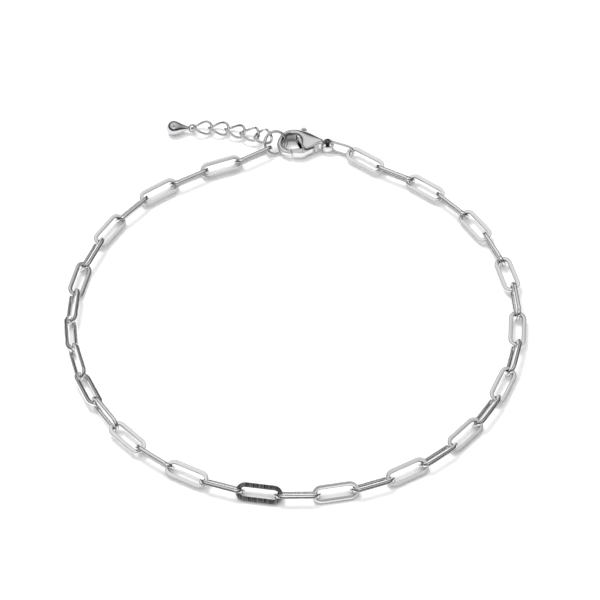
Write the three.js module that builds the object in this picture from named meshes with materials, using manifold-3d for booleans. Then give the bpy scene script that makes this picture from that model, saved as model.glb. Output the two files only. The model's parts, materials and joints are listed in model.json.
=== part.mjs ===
// Paperclip chain bracelet of polished steel, laid in a round loop and fastened.
// Thirty-six long flat-wire links run round the loop. At the back a lobster clasp hooks a
// round jump ring, which also carries a short extender chain with a teardrop on its end.
// Millimetres, +Z up. The loop lies on the plane z = 0 with the clasp at +Y.
import * as THREE from 'three';
import { mergeVertices } from 'three/addons/utils/BufferGeometryUtils.js';
import Module from 'manifold-3d';

const manifold = await Module();
manifold.setup();

// Main links: long stadium links of flat wire with crowned side walls
const LINK_COUNT = 36;
const LINK_PITCH = 6.1;
const LINK_LENGTH = 7.6;
const LINK_WIDTH = 3.0;
const WIRE_WIDTH = 0.66;
const WIRE_THICKNESS = 0.64;
const WIRE_CROWN = 0.14;
const LINK_END_STEPS = 6;

// Loop: a circle of equal chords. Links near the clasp swing out to it, in degrees, and each
// swing carries all the links between it and the clasp.
const TURN_PER_LINK = 9.441;
const FIRST_JOINT_ANGLE = 96.2;
const LOOP_CENTRE = { x: -0.9, y: -3.54 };
const FIRST_SWINGS = [
  { link: 4, swing: -3.5 },
  { link: 3, swing: 3.5 },
  { link: 2, swing: 1 },
  { link: 1, swing: 19 },
];
const LAST_SWING = -17.5;

// Lean of the links about the chain's own line, in degrees. Even links lie the flatter way,
// odd ones stand. Links between two rows take a value between them.
const LEANS = [
  { link: 1, flat: -26, standing: 54 },
  { link: 7, flat: -24, standing: 51 },
  { link: 10, flat: -50, standing: 50 },
  { link: 12, flat: -26, standing: 70 },
  { link: 13, flat: -8, standing: 86 },
  { link: 15, flat: 22, standing: 120 },
  { link: 17, flat: 28, standing: 136 },
  { link: 20, flat: 32, standing: 142 },
  { link: 24, flat: 28, standing: 140 },
  { link: 26, flat: 20, standing: 130 },
  { link: 28, flat: 10, standing: 112 },
  { link: 30, flat: -10, standing: 84 },
  { link: 32, flat: -20, standing: 60 },
  { link: 36, flat: -19, standing: 54 },
];
const HEIGHT_PLAY = 0.1;

// Small rings of round wire
const ROUND_WIRE_SIDES = 6;
const JUMP_RING = { outer: 4.5, wire: 0.55, x: -4.2, y: 36.0, tilt: 52, yaw: 26, steps: 16 };
const CLASP_RING = { length: 5.1, width: 2.75, wire: 0.5, heading: -22, seat: 0.2, endSteps: 6 };

// Lobster clasp, in its own frame: x runs from the eye to the hook, y to the gate's side
const CLASP_PLACE = { x: 4.85, y: 35.9 };
const BODY_THICKNESS = 2.6;
const HOOK_THICKNESS = 1.2;
const ROOT_END = 6.8;
const PLATE_THICKNESS = 0.5;
const CLASP_EDGE = 0.2;
const OUTLINE_STEPS = 2;
const EYE = { outer: 1.2, hole: 0.82, height: 1.1 };
const PIVOT = { x: 2.9, y: -0.3, pin: 0.38, play: 0.14, boss: 0.85 };
const POCKET = { from: 1.75, to: 4.9, side: 4.5 };
const LEVER_THICKNESS = 1.1;
const GATE_THICKNESS = 1.3;
const KNOB = { x: 4.1, y: -3.35, radius: 0.55, neck: 0.8 };

// Extender: twisted oval links, each row giving the way a link runs and how it climbs
const OVAL = { length: 4.0, width: 2.9, wire: 0.5, twist: 0.55, steps: 16 };
const OVAL_PITCH = 2.95;
const EXTENDER_START = { x: -5.1, y: 36.2, z: 3.1 };
const EXTENDER = [
  { name: 'extender_link_5', heading: 146, climb: -22, roll: -42 },
  { name: 'extender_link_4', heading: 152, climb: -14, roll: -15 },
  { name: 'extender_link_3', heading: 162, climb: -3, roll: 0 },
  { name: 'extender_link_2', heading: 174, climb: 0, roll: 0 },
  { name: 'extender_link_1', heading: 182, climb: 0, roll: 0 },
];

// Teardrop: profile rows from the fat end to the neck, and the small loop beyond it
const DROP_PROFILE = [
  { along: 0.0, radius: 0.0 },
  { along: 0.12, radius: 0.55 },
  { along: 0.45, radius: 1.0 },
  { along: 0.95, radius: 1.27 },
  { along: 1.4, radius: 1.3 },
  { along: 2.0, radius: 1.1 },
  { along: 2.8, radius: 0.72 },
  { along: 3.5, radius: 0.42 },
  { along: 3.9, radius: 0.3 },
  { along: 4.0, radius: 0.0 },
];
const DROP_SIDES = 16;
const DROP_LOOP = { radius: 0.6, wire: 0.36, steps: 12, roll: -38 };

const STEEL = { color: 0xc9cacc, roughness: 0.16, metalness: 1.0 };
const BRUSHED_STEEL = { color: 0xbfc0c2, roughness: 0.3, metalness: 1.0 };

const radians = THREE.MathUtils.degToRad;

function steelMesh(name, geometry, finish) {
  const mesh = new THREE.Mesh(geometry, new THREE.MeshStandardMaterial(finish));
  mesh.name = name;
  return mesh;
}

// A ring of wire: one section, carried round closed stations and joined to itself.
// A station has a centre and two directions, out of the ring and to its side.
function closedWire(stations, section) {
  const positions = [];
  const index = [];
  const sides = section.length;
  for (const { centre, out, side } of stations) {
    for (const corner of section) {
      const point = centre.clone().addScaledVector(out, corner.x).addScaledVector(side, corner.y);
      positions.push(point.x, point.y, point.z);
    }
  }
  for (let i = 0; i < stations.length; i += 1) {
    const next = (i + 1) % stations.length;
    for (let j = 0; j < sides; j += 1) {
      const k = (j + 1) % sides;
      index.push(i * sides + j, next * sides + k, next * sides + j);
      index.push(i * sides + j, i * sides + k, next * sides + k);
    }
  }
  const geometry = new THREE.BufferGeometry();
  geometry.setAttribute('position', new THREE.Float32BufferAttribute(positions, 3));
  geometry.setIndex(index);
  geometry.computeVertexNormals();
  return geometry;
}

// Round wire of a given diameter, with its corners on the circle
function roundSection(diameter) {
  const corners = [];
  for (let j = 0; j < ROUND_WIRE_SIDES; j += 1) {
    const angle = -(2 * Math.PI * j) / ROUND_WIRE_SIDES;
    corners.push(new THREE.Vector2(Math.cos(angle), Math.sin(angle)).multiplyScalar(diameter / 2));
  }
  return corners;
}

// Flat wire: level top and bottom, side walls crowned to a blunt edge
function flatSection(width, thickness, crown) {
  const half = width / 2;
  return [
    new THREE.Vector2(half, 0),
    new THREE.Vector2(half - crown, -thickness / 2),
    new THREE.Vector2(crown - half, -thickness / 2),
    new THREE.Vector2(-half, 0),
    new THREE.Vector2(crown - half, thickness / 2),
    new THREE.Vector2(half - crown, thickness / 2),
  ];
}

// Stations of a stadium loop that lies in the XY plane: two half circles and two straights
function stadiumStations(length, width, wire, endSteps) {
  const radius = (width - wire) / 2;
  const offset = (length - width) / 2;
  const stations = [];
  for (const end of [1, -1]) {
    for (let i = 0; i <= endSteps; i += 1) {
      const angle = end * (Math.PI / 2) + Math.PI * (i / endSteps - end);
      const out = new THREE.Vector3(Math.cos(angle), Math.sin(angle), 0);
      const centre = out.clone().multiplyScalar(radius).add(new THREE.Vector3(end * offset, 0, 0));
      stations.push({ centre, out, side: new THREE.Vector3(0, 0, 1) });
    }
  }
  return stations;
}

// Stations of an oval that is twisted about its long axis, so that its two sides cross
function twistedStations(oval) {
  const a = (oval.length - oval.wire) / 2;
  const b = (oval.width - oval.wire) / 2;
  const pointAt = (t) => new THREE.Vector3(a * Math.cos(t), b * Math.sin(t), oval.twist * Math.sin(2 * t));
  const stations = [];
  for (let i = 0; i < oval.steps; i += 1) {
    const t = (2 * Math.PI * i) / oval.steps;
    const centre = pointAt(t);
    const along = pointAt(t + 0.01).sub(pointAt(t - 0.01)).normalize();
    const side = new THREE.Vector3(0, 0, 1).addScaledVector(along, -along.z).normalize();
    const out = along.clone().cross(side);
    stations.push({ centre, out, side });
  }
  return stations;
}

function circleStations(radius, steps) {
  return stadiumStations(2 * radius, 2 * radius, 0, steps / 2).filter((_, i) => i !== steps / 2 && i !== steps + 1);
}

// Boolean work: a geometry becomes a solid, and a solid becomes a geometry again
function solidOf(geometry) {
  const bare = geometry.clone();
  bare.deleteAttribute('normal');
  bare.deleteAttribute('uv');
  const merged = mergeVertices(bare, 1e-4);
  return new manifold.Manifold(new manifold.Mesh({
    numProp: 3,
    vertProperties: new Float32Array(merged.getAttribute('position').array),
    triVerts: new Uint32Array(merged.getIndex().array),
  }));
}

function geometryOf(solid) {
  const mesh = solid.getMesh();
  const geometry = new THREE.BufferGeometry();
  geometry.setAttribute('position', new THREE.Float32BufferAttribute(mesh.vertProperties, 3));
  geometry.setIndex(Array.from(mesh.triVerts));
  geometry.computeVertexNormals();
  return geometry;
}

// A shape extruded about the clasp's middle plane, with its edges eased by edge
function slab(shape, thickness, edge) {
  const geometry = new THREE.ExtrudeGeometry(shape, {
    depth: thickness - 2 * edge,
    curveSegments: OUTLINE_STEPS,
    bevelEnabled: edge > 0,
    bevelThickness: edge,
    bevelSize: edge,
    bevelOffset: -edge,
    bevelSegments: 1,
  });
  geometry.translate(0, 0, edge - thickness / 2);
  return geometry;
}

function disc(x, y, radius, thickness, sides = 16) {
  const geometry = new THREE.CylinderGeometry(radius, radius, thickness, sides);
  geometry.rotateX(Math.PI / 2);
  geometry.translate(x, y, 0);
  return geometry;
}

// Lean of one link, read between the rows of LEANS
function leanOf(link) {
  const kind = link % 2 === 0 ? 'flat' : 'standing';
  const upper = Math.max(1, LEANS.findIndex((row) => row.link >= link));
  const before = LEANS[upper - 1];
  const after = LEANS[upper];
  const share = (link - before.link) / (after.link - before.link);
  return THREE.MathUtils.lerp(before[kind], after[kind], share);
}

// Height of a leaning link's middle when its low edge touches the table
function restHeight(lean) {
  const sine = Math.abs(Math.sin(radians(lean)));
  const cosine = Math.abs(Math.cos(radians(lean)));
  const face = (LINK_WIDTH / 2 - WIRE_CROWN) * sine + (WIRE_THICKNESS / 2) * cosine;
  return Math.max((LINK_WIDTH / 2) * sine, face);
}

// A standing link holds its flatter neighbours up: no link lies lower than play allows
function linkHeight(link) {
  const own = restHeight(leanOf(link));
  const before = restHeight(leanOf(Math.max(1, link - 1)));
  const after = link < LINK_COUNT ? restHeight(leanOf(link + 1)) : CLASP_RING.width / 2;
  return Math.max(own, (before + after) / 2 - HEIGHT_PLAY);
}

// Joints between links, as seen from above
function chainJoints() {
  const radius = LINK_PITCH / 2 / Math.sin(radians(TURN_PER_LINK / 2));
  const joints = [];
  for (let i = 0; i <= LINK_COUNT; i += 1) {
    const angle = radians(FIRST_JOINT_ANGLE + TURN_PER_LINK * i);
    joints.push(new THREE.Vector2(
      LOOP_CENTRE.x + radius * Math.cos(angle),
      LOOP_CENTRE.y + radius * Math.sin(angle),
    ));
  }
  for (const { link, swing } of FIRST_SWINGS) {
    for (const joint of joints.slice(0, link)) {
      joint.rotateAround(joints[link], radians(swing));
    }
  }
  joints[LINK_COUNT].rotateAround(joints[LINK_COUNT - 1], radians(LAST_SWING));
  return joints;
}

function buildChain(joints) {
  const section = flatSection(WIRE_WIDTH, WIRE_THICKNESS, WIRE_CROWN);
  const stations = stadiumStations(LINK_LENGTH, LINK_WIDTH, WIRE_WIDTH, LINK_END_STEPS);
  const chain = new THREE.Group();
  for (let link = 1; link <= LINK_COUNT; link += 1) {
    const from = joints[link - 1];
    const to = joints[link];
    const name = `link_${String(link).padStart(2, '0')}`;
    const mesh = steelMesh(name, closedWire(stations, section), BRUSHED_STEEL);
    const heading = Math.atan2(to.y - from.y, to.x - from.x);
    mesh.rotation.set(radians(leanOf(link)), 0, heading, 'ZYX');
    mesh.position.set((from.x + to.x) / 2, (from.y + to.y) / 2, linkHeight(link));
    chain.add(mesh);
  }
  return chain;
}

// Round ring that leans back against the hook and stands on the table
function buildJumpRing() {
  const radius = (JUMP_RING.outer - JUMP_RING.wire) / 2;
  const stations = circleStations(radius, JUMP_RING.steps);
  const mesh = steelMesh('jump_ring', closedWire(stations, roundSection(JUMP_RING.wire)), STEEL);
  mesh.rotation.set(radians(JUMP_RING.tilt), 0, radians(JUMP_RING.yaw), 'ZYX');
  const rise = radius * Math.sin(radians(JUMP_RING.tilt)) + JUMP_RING.wire / 2;
  mesh.position.set(JUMP_RING.x, JUMP_RING.y, rise);
  return mesh;
}

// Oval ring between the clasp's eye and the last link. It stands on its edge.
function buildClaspRing() {
  const ring = CLASP_RING;
  const stations = stadiumStations(ring.length, ring.width, ring.wire, ring.endSteps);
  const mesh = steelMesh('clasp_ring', closedWire(stations, roundSection(ring.wire)), STEEL);
  const heading = radians(ring.heading);
  mesh.rotation.set(Math.PI / 2, 0, heading, 'ZYX');
  const reach = ring.seat - ring.wire / 2 + ring.length / 2;
  mesh.position.set(
    CLASP_PLACE.x + reach * Math.cos(heading),
    CLASP_PLACE.y + reach * Math.sin(heading),
    ring.width / 2,
  );
  return mesh;
}

// Outline of the body and hook as one claw, open on the gate's side
function clawShape() {
  const shape = new THREE.Shape();
  shape.moveTo(0.8, -0.62);
  shape.splineThru([
    new THREE.Vector2(2.2, -1.6),
    new THREE.Vector2(3.8, -2.5),
    new THREE.Vector2(5.4, -2.95),
    new THREE.Vector2(7.0, -2.75),
    new THREE.Vector2(8.2, -1.8),
    new THREE.Vector2(8.78, -0.3),
    new THREE.Vector2(8.6, 0.9),
    new THREE.Vector2(7.7, 1.95),
    new THREE.Vector2(6.2, 2.4),
  ]);
  shape.lineTo(6.75, 1.42);
  shape.splineThru([
    new THREE.Vector2(7.6, 0.85),
    new THREE.Vector2(7.95, -0.1),
    new THREE.Vector2(7.6, -1.2),
    new THREE.Vector2(6.5, -1.85),
    new THREE.Vector2(5.4, -1.75),
    new THREE.Vector2(4.8, -1.0),
    new THREE.Vector2(4.65, 0.4),
    new THREE.Vector2(4.25, 2.2),
  ]);
  shape.splineThru([
    new THREE.Vector2(3.2, 1.7),
    new THREE.Vector2(2.1, 1.05),
    new THREE.Vector2(0.8, 0.6),
  ]);
  return shape;
}

// The thick part of the claw: the body, and along the back as far as the root of the hook
function bodyLimit() {
  const limit = new THREE.Shape();
  limit.moveTo(0, -4);
  limit.lineTo(ROOT_END, -4);
  limit.lineTo(ROOT_END, -1.2);
  limit.lineTo(5.3, -1.2);
  limit.lineTo(5.3, 4);
  limit.lineTo(0, 4);
  return limit;
}

function buildClaspBody() {
  const claw = clawShape();
  const hook = solidOf(slab(claw, HOOK_THICKNESS, CLASP_EDGE));
  const limit = solidOf(slab(bodyLimit(), BODY_THICKNESS, 0));
  const body = solidOf(slab(claw, BODY_THICKNESS, CLASP_EDGE)).intersect(limit);
  const eye = solidOf(disc(0, 0, EYE.outer, EYE.height));
  const hole = solidOf(disc(0, 0, EYE.hole, BODY_THICKNESS + 1));
  const pocketBox = new THREE.BoxGeometry(
    POCKET.to - POCKET.from, 2 * POCKET.side, BODY_THICKNESS - 2 * PLATE_THICKNESS,
  );
  pocketBox.translate((POCKET.from + POCKET.to) / 2, 0, 0);
  const pin = solidOf(disc(PIVOT.x, PIVOT.y, PIVOT.pin, BODY_THICKNESS - 0.2, 12));
  const solid = body.add(hook).add(eye).subtract(solidOf(pocketBox)).subtract(hole).add(pin);
  return steelMesh('clasp_body', geometryOf(solid), STEEL);
}

// Lever: the gate, a boss round the pin and an arm out to the thumb knob, in one piece
function buildClaspLever() {
  const arm = new THREE.Shape();
  arm.moveTo(2.15, 0.2);
  arm.lineTo(PIVOT.x - 0.45, PIVOT.y - 0.5);
  arm.lineTo(KNOB.x - KNOB.neck / 2, KNOB.y);
  arm.lineTo(KNOB.x + KNOB.neck / 2, KNOB.y);
  arm.lineTo(PIVOT.x + 0.8, PIVOT.y - 0.1);
  arm.lineTo(4.2, 1.05);
  arm.lineTo(5.1, 1.4);
  arm.lineTo(5.1, 2.4);
  arm.lineTo(4.3, 2.45);
  arm.lineTo(2.2, 1.2);
  const gate = new THREE.Shape();
  gate.moveTo(4.95, 1.35);
  gate.lineTo(6.55, 1.42);
  gate.lineTo(6.06, 2.36);
  gate.lineTo(4.95, 2.46);
  const play = PIVOT.pin + PIVOT.play;
  const lever = solidOf(slab(arm, LEVER_THICKNESS, 0))
    .add(solidOf(disc(PIVOT.x, PIVOT.y, PIVOT.boss, LEVER_THICKNESS)))
    .add(solidOf(disc(KNOB.x, KNOB.y, KNOB.radius, LEVER_THICKNESS)))
    .add(solidOf(slab(gate, GATE_THICKNESS, 0.15)))
    .subtract(solidOf(disc(PIVOT.x, PIVOT.y, play, BODY_THICKNESS)));
  return steelMesh('clasp_lever', geometryOf(lever), STEEL);
}

function buildClasp() {
  const clasp = new THREE.Group();
  clasp.add(buildClaspBody());
  clasp.add(buildClaspLever());
  clasp.rotation.z = Math.PI;
  clasp.position.set(CLASP_PLACE.x, CLASP_PLACE.y, BODY_THICKNESS / 2);
  return clasp;
}

// Extender links follow one another from the jump ring outwards, then the drop
function buildExtender() {
  const extender = new THREE.Group();
  const stations = twistedStations(OVAL);
  const section = roundSection(OVAL.wire);
  const joint = new THREE.Vector3(EXTENDER_START.x, EXTENDER_START.y, EXTENDER_START.z);
  const step = new THREE.Vector3();
  const euler = new THREE.Euler();
  for (const { name, heading, climb, roll } of EXTENDER) {
    euler.set(radians(roll), radians(-climb), radians(heading), 'ZYX');
    step.set(OVAL_PITCH, 0, 0).applyEuler(euler);
    const mesh = steelMesh(name, closedWire(stations, section), STEEL);
    mesh.rotation.copy(euler);
    mesh.position.copy(joint).addScaledVector(step, 0.5);
    joint.add(step);
    extender.add(mesh);
  }
  extender.add(buildDrop(joint, euler.z));
  return extender;
}

// Teardrop on its loop, lying on its side with the fat end away from the chain
function buildDrop(joint, heading) {
  const profile = DROP_PROFILE.map(({ along, radius }) => new THREE.Vector2(radius, along));
  const body = new THREE.LatheGeometry(profile, DROP_SIDES);
  body.rotateZ(Math.PI / 2);
  const bodyLength = DROP_PROFILE[DROP_PROFILE.length - 1].along;
  const loop = closedWire(circleStations(DROP_LOOP.radius, DROP_LOOP.steps), roundSection(DROP_LOOP.wire));
  loop.rotateX(radians(90 - DROP_LOOP.roll));
  body.translate(bodyLength + DROP_LOOP.radius - 0.08, 0, 0);
  const drop = steelMesh('end_drop', geometryOf(solidOf(body).add(solidOf(loop))), STEEL);
  const reach = DROP_LOOP.radius - DROP_LOOP.wire / 2 - OVAL.wire / 2;
  const fattest = DROP_PROFILE.reduce((best, row) => (row.radius > best.radius ? row : best));
  const arm = bodyLength - fattest.along + DROP_LOOP.radius;
  const tip = Math.asin((fattest.radius - joint.z) / arm);
  drop.rotation.set(0, -tip, heading, 'ZYX');
  drop.position.set(reach, 0, 0).applyEuler(drop.rotation).add(joint);
  return drop;
}

const bracelet = new THREE.Group();
bracelet.add(buildChain(chainJoints()));
bracelet.add(buildJumpRing());
bracelet.add(buildClaspRing());
bracelet.add(buildClasp());
bracelet.add(buildExtender());

// The origin is the middle of the whole piece's box, on the table
const box = new THREE.Box3().setFromObject(bracelet, true);
const middle = box.getCenter(new THREE.Vector3());
bracelet.position.set(-middle.x, -middle.y, -box.min.z);

const group = new THREE.Group();
group.add(bracelet);

export default group;
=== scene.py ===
# Paperclip chain bracelet of polished steel on a white table, seen as in the photograph.
# Every link, ring and the clasp is rebuilt smooth on the place that its solid has in the frame.
import json
import math

import bpy
import numpy as np
from mathutils import Matrix, Vector


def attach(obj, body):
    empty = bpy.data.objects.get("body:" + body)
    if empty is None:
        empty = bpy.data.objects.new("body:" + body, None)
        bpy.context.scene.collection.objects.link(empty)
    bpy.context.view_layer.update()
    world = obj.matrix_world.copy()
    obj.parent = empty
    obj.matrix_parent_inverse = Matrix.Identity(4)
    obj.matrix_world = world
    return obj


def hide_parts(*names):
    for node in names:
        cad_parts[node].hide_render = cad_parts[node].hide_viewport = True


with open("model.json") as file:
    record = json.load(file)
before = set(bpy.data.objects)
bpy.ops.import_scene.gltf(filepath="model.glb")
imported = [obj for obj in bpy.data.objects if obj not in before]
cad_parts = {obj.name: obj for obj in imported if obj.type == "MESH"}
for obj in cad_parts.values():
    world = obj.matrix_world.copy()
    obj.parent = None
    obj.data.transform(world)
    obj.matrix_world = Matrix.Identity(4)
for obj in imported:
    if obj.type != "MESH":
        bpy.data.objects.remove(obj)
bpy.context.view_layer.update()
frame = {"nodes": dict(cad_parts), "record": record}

MM = 0.001
UP = Vector((0, 0, 1))

# Fineness of the meshes
ARC_STEPS = 20
WIRE_SIDES = 24
RING_STEPS = 96
RIM_STEPS = 4
SLAB_EDGE_STEPS = 6
DOME_STEPS = 8
# Steps from one point of an outline to the next
OUTLINE_STEPS = {"crest": 24, "claw": 8, "lower": 6, "root": 4, "arm": 4, "gate": 6}

# Sizes are in millimetres. A link's wire is broader along its straights, the rails, than at its ends
LINK = {"length": 7.6, "width": 3.0, "wire": 0.66, "thickness": 0.64, "rail": 0.76, "crown": 0.2}
JUMP_RING = {"outer": 4.5, "wire": 0.55}
CLASP_RING = {"length": 5.1, "width": 2.75, "wire": 0.5}
OVAL = {"length": 4.0, "width": 2.9, "wire": 0.5, "twist": 0.55}
# The one link at the front of the loop that carries painted shade: a dark colour with streaks across
# its wire, standing in for the dark reflection that it shows
PAINTED_DARK_LINK = "link_18"

DROP = {"length": 4.0, "loop": 0.6, "loop_wire": 0.36, "overlap": 0.08, "loop_roll": 128.0}
# The teardrop's (distance from its round end, radius)
DROP_PROFILE = [
    (0.0, 0.0), (0.03, 0.3), (0.12, 0.58), (0.28, 0.83), (0.5, 1.05), (0.75, 1.2), (1.05, 1.29),
    (1.4, 1.3), (1.75, 1.22), (2.1, 1.08), (2.5, 0.88), (2.9, 0.68), (3.3, 0.51), (3.65, 0.39),
    (3.88, 0.31), (3.97, 0.2), (4.0, 0.0),
]

# The clasp has a frame of its own: origin in the eye, X to the hook, Y to the gate's side
BODY_HEIGHT = 2.6
HOOK_HEIGHT = 1.2
PLATE = {"thickness": 0.52, "edge": 0.2}
EYE = {"outer": 1.2, "hole": 0.82, "height": 1.1, "edge": 0.15}
RIVET = {"radius": 0.38, "sunk": 0.05, "sides": 32}
ROOT = {"above": 0.02, "below": 0.44, "edge": 0.1}
PIVOT = (2.9, -0.3)
ARM = {"height": 1.1, "edge": 0.08}
GATE = {"height": 1.3, "edge": 0.12}
KNOB = {"centre": (4.1, -3.35), "radius": 0.55, "edge": 0.2, "sides": 32}

# Outlines of the clasp, anticlockwise. The claw is the top plate and the hook in one
BACK = [(0.8, -0.62), (2.2, -1.6), (3.8, -2.5), (5.4, -2.95), (7.0, -2.75), (8.2, -1.8),
        (8.78, -0.3), (8.6, 0.9), (7.7, 1.95), (6.2, 2.4)]
CLAW_INSIDE = [(6.72, 1.42), (7.6, 0.85), (7.95, -0.1), (7.6, -1.2), (6.5, -1.85), (5.5, -1.78),
               (4.95, -1.4), (4.62, -0.8), (4.5, 0.0), (4.4, 0.75), (4.1, 1.35)]
CLAW_FRONT = [(3.85, 1.5), (3.4, 1.48), (2.5, 1.05), (1.6, 0.62), (0.8, 0.45)]
LOWER_BACK = BACK[:4]
LOWER_INSIDE = [(5.55, -1.78), (5.05, -1.42), (4.75, -0.75), (4.65, 0.4), (4.55, 1.2), (4.3, 1.8),
                (3.95, 2.02)]
LOWER_FRONT = [(3.6, 1.92), (3.0, 1.62), (2.1, 1.05), (0.8, 0.6)]
ROOT_BACK = [(0.95, -0.62), (1.3, -0.92), (1.6, -1.12)]
ROOT_FRONT = [(1.6, 0.5), (1.3, 0.42), (0.95, 0.36)]
ARM_OUTLINE = [(2.35, 1.25), (2.25, 0.2), (2.45, -0.8), (3.7, -3.35), (4.5, -3.35), (3.7, -0.4),
               (4.2, 1.05), (5.1, 1.4), (5.1, 2.42), (4.3, 2.42)]
GATE_OUTLINE = [(4.3, 1.25), (4.95, 1.38), (6.55, 1.42), (6.06, 2.36), (4.95, 2.46), (4.3, 2.4)]

# Crest of the claw: along the plate's middle from the eye, then along the hook to its nose
CREST = [(1.3, -0.1), (2.2, -0.45), (3.2, -0.75), (4.2, -1.35), (5.2, -2.15), (6.3, -2.35),
         (7.3, -2.0), (7.95, -1.4), (8.36, -0.2), (8.1, 0.88), (7.4, 1.58), (6.6, 1.92)]
# Shares of the crest's length: the plate ends, the hook begins to thin, the hook is thin
PLATE_END = 0.39
THINNING = (0.47, 0.8)
# How far the outline lies below the crest, on the plate and on the thin hook
DOME_FALL = (0.38, 0.26)

# Vertex attribute that keeps each piece's own coordinates, which its finish follows
PLACE_ON_PIECE = "place_on_piece"
# Noise cells in a metre, before a grain multiplies them along the piece's axes
NOISE_SCALE = 1000.0
# Each steel's colour, roughness, grain along X, Y and Z, and strength of its relief
STEELS = {
    "link_steel": ((0.86, 0.86, 0.865), 0.20, (0.25, 6.0, 6.0), 0.25),
    "ring_steel": ((0.70, 0.70, 0.705), 0.12, (1.0, 1.0, 1.0), 0.08),
    "clasp_steel": ((0.74, 0.74, 0.745), 0.17, (1.0, 1.0, 5.0), 0.2),
    # The drop's steel is darker: painted shade that stands in for the dark band its polish mirrors
    "drop_steel": ((0.62, 0.62, 0.63), 0.06, (1.0, 1.0, 1.0), 0.03),
}
RELIEF_DEPTH = 0.01
# How far the grain moves a steel's roughness and darkens its colour
ROUGHNESS_RANGE = (0.75, 1.3)
GRAIN_TINT = 0.93
# Painted shade on the dark link: grey of its dark and its light streaks, and where between 0 and 1 in
# the noise they begin
PAINTED_SHADE_STREAKS = {"dark": 0.05, "light": 0.3, "dark_at": 0.4, "light_at": 0.66}
SHADE_STREAK_GRAIN = {"grain": (7.0, 0.5, 0.5), "turn": 35.0, "detail": 2.0}
DARK_LINK_ROUGHNESS = 0.32
# Painted shade: the link's colour is darker on the corners of its wire, between these heights off its
# middle, standing in for the dark lines that the corners mirror
PAINTED_CORNER_SHADE = {"inner": 0.16, "outer": 0.312, "tone": 0.28}
# Painted shade: darker colour on the walls of the clasp's eye and inside its hook
PAINTED_BORE_SHADES = [
    {"centre": (0.0, 0.0), "radius": 0.822, "rim": 0.02, "tone": 0.16},
    {"centre": (6.38, -0.3), "radius": 1.62, "rim": 0.2, "tone": 0.24},
]

# The table, with a faint glow that lifts it to the photograph's white. Its reach is in metres
TABLE = {"reach": 3.0, "below": 0.02, "grey": 0.93, "roughness": 0.8, "specular": 0.1, "glow": 0.1}
# Brightness of the light tent by height, from the horizon (0) to overhead (1)
TENT_HEIGHTS = [(0.0, 0.01), (0.22, 0.03), (0.38, 0.12), (0.52, 0.4), (0.68, 0.72), (0.8, 0.88),
                (1.0, 0.92)]
# Patches of the tent that the steel mirrors: a dimmer roof, a dimmer side, a bright front
TENT_PATCHES = [
    {"toward": (0.03, -0.33, 0.94), "radius": 13.0, "soft": 12.0, "tone": 0.36},
    {"toward": (0.62, 0.0, 0.78), "radius": 16.0, "soft": 14.0, "tone": 0.8},
    {"toward": (0.0, -0.72, 0.69), "radius": 12.0, "soft": 8.0, "tone": 2.0},
]
# Square lamps over the middle of the table, places and sides in metres, power in watts
LAMPS = {
    "key_box": {"place": (-0.2, 0.26, 0.66), "side": 0.22, "power": 2.6},
    "fill_box": {"place": (0, -0.1, 0.9), "side": 1.2, "power": 3.9},
}
CAMERA = {"lens": 192.0, "sensor": 36.0, "elevation": 49.0, "distance": 532.6}
CAMERA_CLIP = (0.01, 20.0)
# What the camera looks at, in the clasp's own frame
AIM_FROM_CLASP = (4.8, 35.9, 0.3)


# Meshes
def add_object(name, vertices, faces):
    """A mesh object from vertices in millimetres, smooth apart from its flat ends of many sides."""
    mesh = bpy.data.meshes.new(name)
    mesh.from_pydata([tuple(MM * c for c in v) for v in vertices], [], faces)
    mesh.update()
    for polygon in mesh.polygons:
        polygon.use_smooth = len(polygon.vertices) <= 4
    obj = bpy.data.objects.new(name, mesh)
    bpy.context.scene.collection.objects.link(obj)
    return obj


def loop_faces(rows, sides):
    """Quads between neighbouring rows of points, each row being a closed loop of the given sides."""
    faces = []
    for row, after in rows:
        for j in range(sides):
            m = (j + 1) % sides
            faces.append((row * sides + j, after * sides + j, after * sides + m, row * sides + m))
    return faces


def turned(faces):
    """The same quads, facing the other way."""
    return [(a, d, c, b) for a, b, c, d in faces]


def swept(name, stations):
    """A closed wire through stations of (centre, out, side, section).

    A section is a list of points, as distances along out and side."""
    vertices = []
    for centre, out, side, section in stations:
        for u, v in section:
            vertices.append(centre + out * u + side * v)
    count = len(stations)
    faces = loop_faces([(i, (i + 1) % count) for i in range(count)], len(stations[0][3]))
    return add_object(name, vertices, faces)


def round_section(diameter):
    """Section of round wire."""
    radius = diameter / 2
    angles = [2 * math.pi * j / WIRE_SIDES for j in range(WIRE_SIDES)]
    return [(radius * math.cos(angle), radius * math.sin(angle)) for angle in angles]


def flat_section(width, thickness, flat):
    """Section of flat-rolled wire: level faces, and side walls that bulge as half an ellipse."""
    steps = WIRE_SIDES // 2
    right = []
    for j in range(steps + 1):
        angle = -math.pi / 2 + math.pi * j / steps
        bulge = (width - flat) / 2 * math.cos(angle)
        right.append((flat / 2 + bulge, thickness / 2 * math.sin(angle)))
    return right + [(-u, -v) for u, v in right]


def stadium(length, width, wire_at):
    """Stations of two half circles and two straights in the XY plane, the long way along X.

    wire_at gives the wire's width and section for a direction out from the middle."""
    offset = (length - width) / 2
    stations = []
    for end in (1, -1):
        for i in range(ARC_STEPS + 1):
            angle = -end * math.pi / 2 + math.pi * i / ARC_STEPS
            out = Vector((math.cos(angle), math.sin(angle), 0))
            wire, section = wire_at(angle)
            centre = out * ((width - wire) / 2) + Vector((end * offset, 0, 0))
            stations.append((centre, out, UP, section))
    return stations


def circle(diameter, wire):
    """Stations of a round ring in the XY plane."""
    section = round_section(wire)
    stations = []
    for i in range(RING_STEPS):
        angle = 2 * math.pi * i / RING_STEPS
        out = Vector((math.cos(angle), math.sin(angle), 0))
        stations.append((out * (diameter - wire) / 2, out, UP, section))
    return stations


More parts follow.
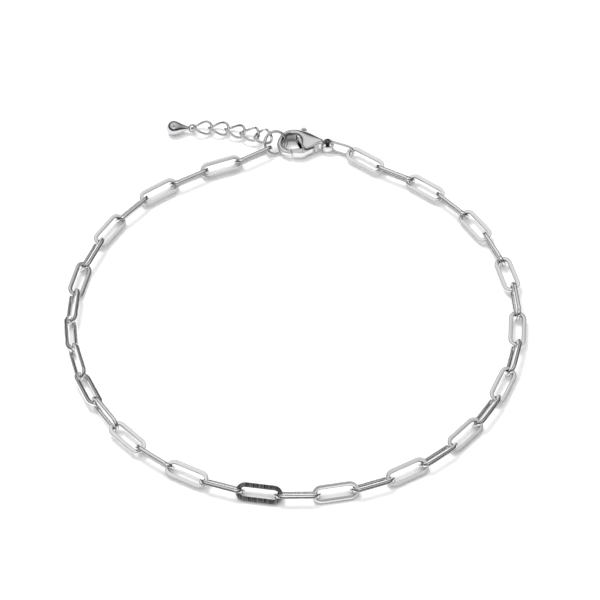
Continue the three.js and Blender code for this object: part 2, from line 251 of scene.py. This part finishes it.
def twisted_oval(oval):
    """Stations of an oval ring twisted about its long axis."""
    a = (oval["length"] - oval["wire"]) / 2
    b = (oval["width"] - oval["wire"]) / 2
    section = round_section(oval["wire"])

    def point(t):
        return Vector((a * math.cos(t), b * math.sin(t), oval["twist"] * math.sin(2 * t)))

    near = 0.01
    stations = []
    for i in range(RING_STEPS):
        t = 2 * math.pi * i / RING_STEPS
        along = (point(t + near) - point(t - near)).normalized()
        side = (UP - along * along.z).normalized()
        stations.append((point(t), along.cross(side), side, section))
    return stations


def spline(points, steps):
    """A smooth run through the given points (Catmull-Rom), with so many steps from each to the next."""
    p = [Vector(q) for q in points]
    p = [2 * p[0] - p[1]] + p + [2 * p[-1] - p[-2]]
    run = []
    for i in range(1, len(p) - 2):
        a, b, c, d = p[i - 1], p[i], p[i + 1], p[i + 2]
        for s in range(steps):
            t = s / steps
            run.append(0.5 * (2 * b + (c - a) * t + (2 * a - 5 * b + 4 * c - d) * t * t
                              + (3 * b - a - 3 * c + d) * t ** 3))
    run.append(p[-2])
    return run


def dense(outline, steps):
    """The same outline with more points on each side."""
    points = []
    for i, p in enumerate(outline):
        q = outline[(i + 1) % len(outline)]
        for s in range(steps):
            points.append(Vector(p).lerp(Vector(q), s / steps))
    return points


def slab(name, outline, low, high, edge):
    """A plate with rounded edges from z low to high. The outline runs anticlockwise."""
    steps = SLAB_EDGE_STEPS
    count = len(outline)
    normals = []
    for i in range(count):
        tangent = (outline[(i + 1) % count] - outline[i - 1]).normalized()
        normals.append(Vector((tangent.y, -tangent.x)))
    rings = []
    for k in range(steps + 1):
        angle = math.pi / 2 * k / steps
        rings.append((edge * (1 - math.sin(angle)), low + edge * (1 - math.cos(angle))))
    for k in range(steps + 1):
        angle = math.pi / 2 * (1 - k / steps)
        rings.append((edge * (1 - math.sin(angle)), high - edge * (1 - math.cos(angle))))
    vertices = []
    for inset, z in rings:
        for q, n in zip(outline, normals):
            vertices.append((q.x - n.x * inset, q.y - n.y * inset, z))
    faces = turned(loop_faces([(r, r + 1) for r in range(len(rings) - 1)], count))
    faces.append(tuple(reversed(range(count))))
    faces.append(tuple((len(rings) - 1) * count + i for i in range(count)))
    return add_object(name, vertices, faces)


def lathed(name, profile, steps, closed_profile=False):
    """A turned piece about Z. Profile rows are (radius, z)."""
    vertices = []
    for i in range(steps):
        angle = 2 * math.pi * i / steps
        for radius, z in profile:
            vertices.append((radius * math.cos(angle), radius * math.sin(angle), z))
    rows = len(profile)
    faces = []
    for i in range(steps):
        k = (i + 1) % steps
        for j in range(rows if closed_profile else rows - 1):
            m = (j + 1) % rows
            faces.append((i * rows + j, k * rows + j, k * rows + m, i * rows + m))
    return add_object(name, vertices, faces)


def rounded_wall(inner, outer, low, high, edge):
    """Closed profile of a tube's wall with rounded rims, as (radius, z)."""
    profile = []
    corners = [(outer - edge, low + edge, -90), (outer - edge, high - edge, 0),
               (inner + edge, high - edge, 90), (inner + edge, low + edge, 180)]
    for radius, z, start in corners:
        for k in range(RIM_STEPS + 1):
            angle = math.radians(start + 90 * k / RIM_STEPS)
            profile.append((radius + edge * math.cos(angle), z + edge * math.sin(angle)))
    return profile


def joined(name, objects):
    """Several objects as one piece."""
    vertices = []
    faces = []
    smooth = []
    for obj in objects:
        start = len(vertices)
        vertices.extend(obj.matrix_world @ v.co for v in obj.data.vertices)
        for polygon in obj.data.polygons:
            faces.append(tuple(start + v for v in polygon.vertices))
            smooth.append(polygon.use_smooth)
        bpy.data.objects.remove(obj)
    mesh = bpy.data.meshes.new(name)
    mesh.from_pydata(vertices, [], faces)
    mesh.update()
    mesh.polygons.foreach_set("use_smooth", smooth)
    result = bpy.data.objects.new(name, mesh)
    bpy.context.scene.collection.objects.link(result)
    return result


# Materials
def new_material(name):
    """A material's (own self, nodes, links, shader)."""
    material = bpy.data.materials.new(name)
    material.use_nodes = True
    tree = material.node_tree
    return material, tree.nodes, tree.links, tree.nodes["Principled BSDF"]


def place_on_piece(nodes):
    """Output that gives each point's coordinates on its own piece."""
    coordinates = nodes.new("ShaderNodeAttribute")
    coordinates.attribute_name = PLACE_ON_PIECE
    return coordinates.outputs["Vector"]


def grain_lines(nodes, links, grain, turn, detail):
    """Output of noise drawn out along the piece, turned about its Z by so many degrees."""
    mapping = nodes.new("ShaderNodeMapping")
    mapping.inputs["Rotation"].default_value = (0, 0, math.radians(turn))
    mapping.inputs["Scale"].default_value = grain
    links.new(place_on_piece(nodes), mapping.inputs["Vector"])
    noise = nodes.new("ShaderNodeTexNoise")
    noise.inputs["Scale"].default_value = NOISE_SCALE
    noise.inputs["Detail"].default_value = detail
    links.new(mapping.outputs["Vector"], noise.inputs["Vector"])
    return noise.outputs["Fac"]


def steel(name, color, roughness, grain, relief):
    """Stainless steel: a metal whose roughness, tint and surface vary along fine drawn lines."""
    material, nodes, links, shader = new_material(name)
    shader.inputs["Metallic"].default_value = 1.0
    lines = grain_lines(nodes, links, grain, turn=0.0, detail=4.0)
    rough = nodes.new("ShaderNodeMapRange")
    rough.inputs["To Min"].default_value = roughness * ROUGHNESS_RANGE[0]
    rough.inputs["To Max"].default_value = roughness * ROUGHNESS_RANGE[1]
    links.new(lines, rough.inputs["Value"])
    links.new(rough.outputs["Result"], shader.inputs["Roughness"])
    tint = nodes.new("ShaderNodeMixRGB")
    tint.inputs["Color1"].default_value = (*[c * GRAIN_TINT for c in color], 1)
    tint.inputs["Color2"].default_value = (*color, 1)
    links.new(lines, tint.inputs["Fac"])
    links.new(tint.outputs["Color"], shader.inputs["Base Color"])
    bump = nodes.new("ShaderNodeBump")
    bump.inputs["Strength"].default_value = relief
    bump.inputs["Distance"].default_value = RELIEF_DEPTH * MM
    links.new(lines, bump.inputs["Height"])
    links.new(bump.outputs["Normal"], shader.inputs["Normal"])
    return material


def painted_shade_steel(name):
    """Steel painted dark: painted shade laid into its colour in coarse streaks across the wire,
    standing in for a dark reflection.
    """
    material, nodes, links, shader = new_material(name)
    shader.inputs["Metallic"].default_value = 1.0
    shader.inputs["Roughness"].default_value = DARK_LINK_ROUGHNESS
    streaks = grain_lines(nodes, links, **SHADE_STREAK_GRAIN)
    tone = nodes.new("ShaderNodeValToRGB")
    set_ramp(tone, [(PAINTED_SHADE_STREAKS["dark_at"], PAINTED_SHADE_STREAKS["dark"]), (PAINTED_SHADE_STREAKS["light_at"], PAINTED_SHADE_STREAKS["light"])])
    links.new(streaks, tone.inputs["Fac"])
    links.new(tone.outputs["Color"], shader.inputs["Base Color"])
    return material


def set_ramp(ramp, stops):
    """Gives a colour ramp its stops, as (position, grey)."""
    elements = ramp.color_ramp.elements
    while len(elements) < len(stops):
        elements.new(0.5)
    for element, (position, value) in zip(elements, stops):
        element.position = position
        element.color = (value, value, value, 1)


def soft_step(nodes, links, value, nothing_at, full_at):
    """Node whose Result grows smoothly from 0 to 1 as the value goes from nothing_at to full_at."""
    step = nodes.new("ShaderNodeMapRange")
    step.interpolation_type = "SMOOTHSTEP"
    step.inputs["From Min"].default_value = nothing_at
    step.inputs["From Max"].default_value = full_at
    links.new(value, step.inputs["Value"])
    return step


def paint_shade(material, share, tone):
    """Lays a grey tone of painted shade over a material's colour, as strongly as the share says."""
    tree = material.node_tree
    base = tree.nodes["Principled BSDF"].inputs["Base Color"]
    darker = tree.nodes.new("ShaderNodeMixRGB")
    darker.inputs["Color2"].default_value = (tone, tone, tone, 1)
    tree.links.new(share, darker.inputs["Fac"])
    tree.links.new(base.links[0].from_socket, darker.inputs["Color1"])
    tree.links.new(darker.outputs["Color"], base)


def paint_corner_shade(material, corners):
    """Painted shade: darkens the colour on the corners of a flat wire, between its side walls and its
    level faces.
    """
    nodes = material.node_tree.nodes
    links = material.node_tree.links
    split = nodes.new("ShaderNodeSeparateXYZ")
    links.new(place_on_piece(nodes), split.inputs["Vector"])
    height = nodes.new("ShaderNodeMath")
    height.operation = "ABSOLUTE"
    links.new(split.outputs["Z"], height.inputs[0])
    past_middle = nodes.new("ShaderNodeMath")
    past_middle.operation = "SUBTRACT"
    past_middle.inputs[1].default_value = (corners["inner"] + corners["outer"]) / 2 * MM
    links.new(height.outputs["Value"], past_middle.inputs[0])
    away = nodes.new("ShaderNodeMath")
    away.operation = "ABSOLUTE"
    links.new(past_middle.outputs["Value"], away.inputs[0])
    reach = (corners["outer"] - corners["inner"]) / 2 * MM
    share = soft_step(nodes, links, away.outputs["Value"], reach, reach / 2)
    paint_shade(material, share.outputs["Result"], corners["tone"])


def paint_bore_shade(material, bore):
    """Painted shade: darkens the colour on the wall of a round opening, where a polished casting
    mirrors only itself.
    """
    nodes = material.node_tree.nodes
    links = material.node_tree.links
    flat = nodes.new("ShaderNodeVectorMath")
    flat.operation = "MULTIPLY"
    flat.inputs[1].default_value = (1, 1, 0)
    links.new(place_on_piece(nodes), flat.inputs[0])
    distance = nodes.new("ShaderNodeVectorMath")
    distance.operation = "DISTANCE"
    distance.inputs[1].default_value = Vector((*bore["centre"], 0)) * MM
    links.new(flat.outputs["Vector"], distance.inputs[0])
    rim = (bore["radius"] + bore["rim"]) * MM
    share = soft_step(nodes, links, distance.outputs["Value"], rim, bore["radius"] * MM)
    paint_shade(material, share.outputs["Result"], bore["tone"])


steels = {name: steel(name, *values) for name, values in STEELS.items()}
# Painted shade laid into the colours: darker corners on the links' wire, darker walls in the clasp's
# eye and hook, and one link painted dark
paint_corner_shade(steels["link_steel"], PAINTED_CORNER_SHADE)
for bore in PAINTED_BORE_SHADES:
    paint_bore_shade(steels["clasp_steel"], bore)
painted_shade_link_steel = painted_shade_steel("painted_shade_link_steel")


def finish(obj, material, body, node):
    """Settles a piece's vertices in the frame, gives it its finish, hides the solid that it stands for
    and puts it on its body.
    """
    own = np.empty(3 * len(obj.data.vertices))
    obj.data.vertices.foreach_get("co", own)
    obj.data.attributes.new(PLACE_ON_PIECE, "FLOAT_VECTOR", "POINT").data.foreach_set("vector", own)
    obj.data.transform(obj.matrix_world)
    obj.matrix_world = Matrix()
    obj.data.materials.clear()
    obj.data.materials.append(material)
    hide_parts(node)
    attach(obj, body)


# Chain, rings and extender
def place_of(name):
    """A ring-shaped node's place, with X its longest way and Z square to its plane, and its points."""
    mesh = frame["nodes"][name].data
    points = np.array([tuple(v.co) for v in mesh.vertices])
    middle = points.mean(axis=0)
    _, axes = np.linalg.eigh(np.cov((points - middle).T))
    x = Vector(axes[:, 2]).normalized()
    z = Vector(axes[:, 0]).normalized()
    if z.z < 0:
        z = -z
    matrix = Matrix((x, z.cross(x), z)).transposed().to_4x4()
    matrix.translation = Vector(middle)
    return matrix, points


def nodes_named(start):
    return sorted(name for name in frame["nodes"] if name.startswith(start))


def link_wire(angle):
    """A link's wire, broad where the direction out is square to the link's length."""
    width = LINK["wire"] + (LINK["rail"] - LINK["wire"]) * math.sin(angle) ** 2
    return width, flat_section(width, LINK["thickness"], width - LINK["crown"])


def build_links():
    stations = stadium(LINK["length"], LINK["width"], link_wire)
    for name in nodes_named("link_"):
        link = swept(f"steel_{name}", stations)
        link.matrix_world, _ = place_of(name)
        # The dark link gets painted shade in its colour; the others get the plain link steel
        material = painted_shade_link_steel if name == PAINTED_DARK_LINK else steels["link_steel"]
        finish(link, material, "chain", name)


def build_ring(name, stations):
    """One piece of round wire on its node's place."""
    ring = swept(f"steel_{name}", stations)
    ring.matrix_world, _ = place_of(name)
    finish(ring, steels["ring_steel"], "chain", name)


def build_rings():
    """The jump ring, the clasp's oval ring and the extender's twisted links."""
    build_ring("jump_ring", circle(JUMP_RING["outer"], JUMP_RING["wire"]))
    wire = (CLASP_RING["wire"], round_section(CLASP_RING["wire"]))
    build_ring("clasp_ring", stadium(CLASP_RING["length"], CLASP_RING["width"], lambda angle: wire))
    for name in nodes_named("extender_link_"):
        build_ring(name, twisted_oval(OVAL))


def build_drop():
    """Teardrop turned about its long axis, with the small loop that it hangs from."""
    place, points = place_of("end_drop")
    middle = place.translation
    axis = place.to_3x3() @ Vector((1, 0, 0))
    along = np.array([(Vector(p) - middle).dot(axis) for p in points])
    beside = np.array([(Vector(p) - middle).cross(axis).length for p in points])
    radius_high = beside[along > along.max() - MM].max()
    radius_low = beside[along < along.min() + MM].max()
    loop_end = 1 if radius_high < radius_low else -1
    axis = axis * loop_end
    tip = middle + axis * (loop_end * along).max()
    side = UP.cross(axis).normalized()
    loop_place = Matrix((axis, side, axis.cross(side))).transposed().to_4x4()
    loop_place.translation = tip - axis * (DROP["loop"] + DROP["loop_wire"] / 2) * MM

    body = lathed("drop_body", [(radius, -distance) for distance, radius in DROP_PROFILE], RING_STEPS)
    round_end = (DROP["loop"] - DROP["overlap"] + DROP["length"]) * MM
    lying = Matrix.Rotation(-math.pi / 2, 4, "Y")
    body.matrix_world = loop_place @ Matrix.Translation((-round_end, 0, 0)) @ lying
    loop = swept("drop_loop", circle(2 * DROP["loop"] + DROP["loop_wire"], DROP["loop_wire"]))
    loop.matrix_world = loop_place @ Matrix.Rotation(-math.radians(DROP["loop_roll"]), 4, "X")
    drop = joined("steel_end_drop", [body, loop])
    finish(drop, steels["drop_steel"], "chain", "end_drop")


# Clasp
def clasp_frame():
    """Where the clasp's own frame lies: turned half round, with its pivot on the lever's joint."""
    joint = next(j for j in frame["record"]["behaviour"]["joints"] if j["name"] == "LEVER")
    turn = Matrix.Rotation(math.pi, 4, "Z")
    origin = Vector(joint["pos_m"]) - turn.to_3x3() @ (Vector((*PIVOT, 0)) * MM)
    return Matrix.Translation(origin) @ turn


def build_claw():
    """Top plate and hook as one casting, domed up to its crest. The hook is as deep as it is high."""
    crest = spline(CREST, OUTLINE_STEPS["crest"])
    lengths = [0.0]
    for p, q in zip(crest, crest[1:]):
        lengths.append(lengths[-1] + (q - p).length)
    outline = []
    for points in (BACK, CLAW_INSIDE, CLAW_FRONT):
        outline += spline(points, OUTLINE_STEPS["claw"])
    plate_fall, hook_fall = DOME_FALL
    rows = []
    for p in outline:
        i = min(range(len(crest)), key=lambda k: (crest[k] - p).length)
        share = lengths[i] / lengths[-1]
        thin = min(1.0, max(0.0, (share - THINNING[0]) / (THINNING[1] - THINNING[0])))
        thin = thin * thin * (3 - 2 * thin)
        top = (BODY_HEIGHT + (HOOK_HEIGHT - BODY_HEIGHT) * thin) / 2
        fall = plate_fall + (hook_fall - plate_fall) * thin
        rows.append((p, crest[i], top, fall, share > PLATE_END))

    plate_base = BODY_HEIGHT / 2 - PLATE["thickness"]
    levels = [k / DOME_STEPS for k in range(DOME_STEPS + 1)]
    vertices = []
    for level in reversed(levels):
        for p, foot, top, fall, is_hook in rows:
            q = p.lerp(foot, level)
            low = -(top - fall * (1 - level) ** 2) if is_hook else plate_base
            vertices.append((q.x, q.y, low))
    for level in levels:
        for p, foot, top, fall, _ in rows:
            q = p.lerp(foot, level)
            vertices.append((q.x, q.y, top - fall * (1 - level) ** 2))
    faces = loop_faces([(r, r + 1) for r in range(2 * len(levels) - 1)], len(outline))
    return add_object("claw", vertices, turned(faces))


def build_body():
    """Claw, lower plate, eye, the root that joins the plates, and the rivet in one piece."""
    half = BODY_HEIGHT / 2
    lower = spline(LOWER_BACK, OUTLINE_STEPS["claw"])
    for points in (LOWER_INSIDE, LOWER_FRONT):
        lower += spline(points, OUTLINE_STEPS["lower"])
    root = spline(ROOT_BACK, OUTLINE_STEPS["root"]) + spline(ROOT_FRONT, OUTLINE_STEPS["root"])
    wall = rounded_wall(EYE["hole"], EYE["outer"], -EYE["height"] / 2, EYE["height"] / 2, EYE["edge"])
    radius = RIVET["radius"]
    tip = half - RIVET["sunk"]
    rivet = [(0.0, -tip), (radius, -tip), (radius, tip), (0.0, tip)]
    return joined("steel_clasp_body", [
        build_claw(),
        slab("lower_plate", lower, -half, -half + PLATE["thickness"], PLATE["edge"]),
        lathed("eye", wall, RING_STEPS, closed_profile=True),
        slab("root", root, -half + ROOT["above"], half - ROOT["below"], ROOT["edge"]),
        lathed("rivet", rivet, RIVET["sides"]),
    ])


def build_lever():
    """Arm, gate and thumb knob in one piece."""
    x, y = KNOB["centre"]
    radius = KNOB["radius"]
    angles = [2 * math.pi * i / KNOB["sides"] for i in range(KNOB["sides"])]
    knob = [Vector((x + radius * math.cos(angle), y + radius * math.sin(angle))) for angle in angles]
    arm_half = ARM["height"] / 2
    gate_half = GATE["height"] / 2
    return joined("steel_clasp_lever", [
        slab("arm", dense(ARM_OUTLINE, OUTLINE_STEPS["arm"]), -arm_half, arm_half, ARM["edge"]),
        slab("gate", dense(GATE_OUTLINE, OUTLINE_STEPS["gate"]), -gate_half, gate_half, GATE["edge"]),
        slab("knob", knob, -arm_half, arm_half, KNOB["edge"]),
    ])


def build_clasp():
    """The clasp's body on the chain's body, and the lever that turns on it."""
    pieces = [(build_body(), "chain", "clasp_body"), (build_lever(), "lever", "clasp_lever")]
    for piece, body, node in pieces:
        piece.matrix_world = clasp_frame()
        finish(piece, steels["clasp_steel"], body, node)


# Table, light and camera
def build_table():
    reach = TABLE["reach"]
    corners = [(-reach, -reach, 0), (reach, -reach, 0), (reach, reach, 0), (-reach, reach, 0)]
    mesh = bpy.data.meshes.new("table")
    mesh.from_pydata(corners, [], [(0, 1, 2, 3)])
    table = bpy.data.objects.new("table", mesh)
    table.location.z = -TABLE["below"] * MM
    bpy.context.scene.collection.objects.link(table)
    material, _, _, shader = new_material("white_table")
    shader.inputs["Base Color"].default_value = (TABLE["grey"], TABLE["grey"], TABLE["grey"], 1)
    shader.inputs["Roughness"].default_value = TABLE["roughness"]
    shader.inputs["Specular IOR Level"].default_value = TABLE["specular"]
    shader.inputs["Emission Color"].default_value = (1, 1, 1, 1)
    shader.inputs["Emission Strength"].default_value = TABLE["glow"]
    table.data.materials.append(material)


def build_lamp(name, place, side, power):
    """A soft square lamp aimed at the table's middle, which the steel doesn't mirror."""
    lamp = bpy.data.lights.new(name, "AREA")
    lamp.shape = "RECTANGLE"
    lamp.size = side
    lamp.size_y = side
    lamp.energy = power
    obj = bpy.data.objects.new(name, lamp)
    obj.location = place
    obj.rotation_euler = (-Vector(place)).to_track_quat("-Z", "Y").to_euler()
    obj.visible_glossy = False
    bpy.context.scene.collection.objects.link(obj)


def build_tent():
    """A light tent: bright overhead, dim near the horizon, with patches that the steel mirrors."""
    world = bpy.data.worlds.new("tent")
    bpy.context.scene.world = world
    world.use_nodes = True
    nodes = world.node_tree.nodes
    links = world.node_tree.links
    coordinates = nodes.new("ShaderNodeTexCoord")
    split = nodes.new("ShaderNodeSeparateXYZ")
    heights = nodes.new("ShaderNodeValToRGB")
    links.new(coordinates.outputs["Generated"], split.inputs["Vector"])
    links.new(split.outputs["Z"], heights.inputs["Fac"])
    set_ramp(heights, TENT_HEIGHTS)
    tone = heights.outputs["Color"]
    for patch in TENT_PATCHES:
        toward = nodes.new("ShaderNodeVectorMath")
        toward.operation = "DOT_PRODUCT"
        toward.inputs[1].default_value = Vector(patch["toward"]).normalized()
        links.new(coordinates.outputs["Generated"], toward.inputs[0])
        far = math.cos(math.radians(patch["radius"] + patch["soft"]))
        near = math.cos(math.radians(patch["radius"] - patch["soft"] / 2))
        share = soft_step(nodes, links, toward.outputs["Value"], far, near)
        share.inputs["To Min"].default_value = 1.0
        share.inputs["To Max"].default_value = patch["tone"]
        patched = nodes.new("ShaderNodeMixRGB")
        patched.blend_type = "MULTIPLY"
        patched.inputs["Fac"].default_value = 1.0
        links.new(tone, patched.inputs["Color1"])
        links.new(share.outputs["Result"], patched.inputs["Color2"])
        tone = patched.outputs["Color"]
    links.new(tone, nodes["Background"].inputs["Color"])


def build_camera():
    camera = bpy.data.cameras.new("camera")
    camera.lens = CAMERA["lens"]
    camera.sensor_width = CAMERA["sensor"]
    camera.dof.use_dof = False
    camera.clip_start, camera.clip_end = CAMERA_CLIP
    obj = bpy.data.objects.new("camera", camera)
    elevation = math.radians(CAMERA["elevation"])
    aim = clasp_frame() @ (Vector(AIM_FROM_CLASP) * MM)
    back = Vector((0, -math.cos(elevation), math.sin(elevation)))
    obj.location = aim + back * (CAMERA["distance"] * MM)
    obj.rotation_euler = (math.pi / 2 - elevation, 0, 0)
    bpy.context.scene.collection.objects.link(obj)
    bpy.context.scene.camera = obj


build_links()
build_rings()
build_drop()
build_clasp()

build_table()
build_tent()
for name, lamp in LAMPS.items():
    build_lamp(name, **lamp)
build_camera()
bpy.context.scene.view_settings.view_transform = "Standard"
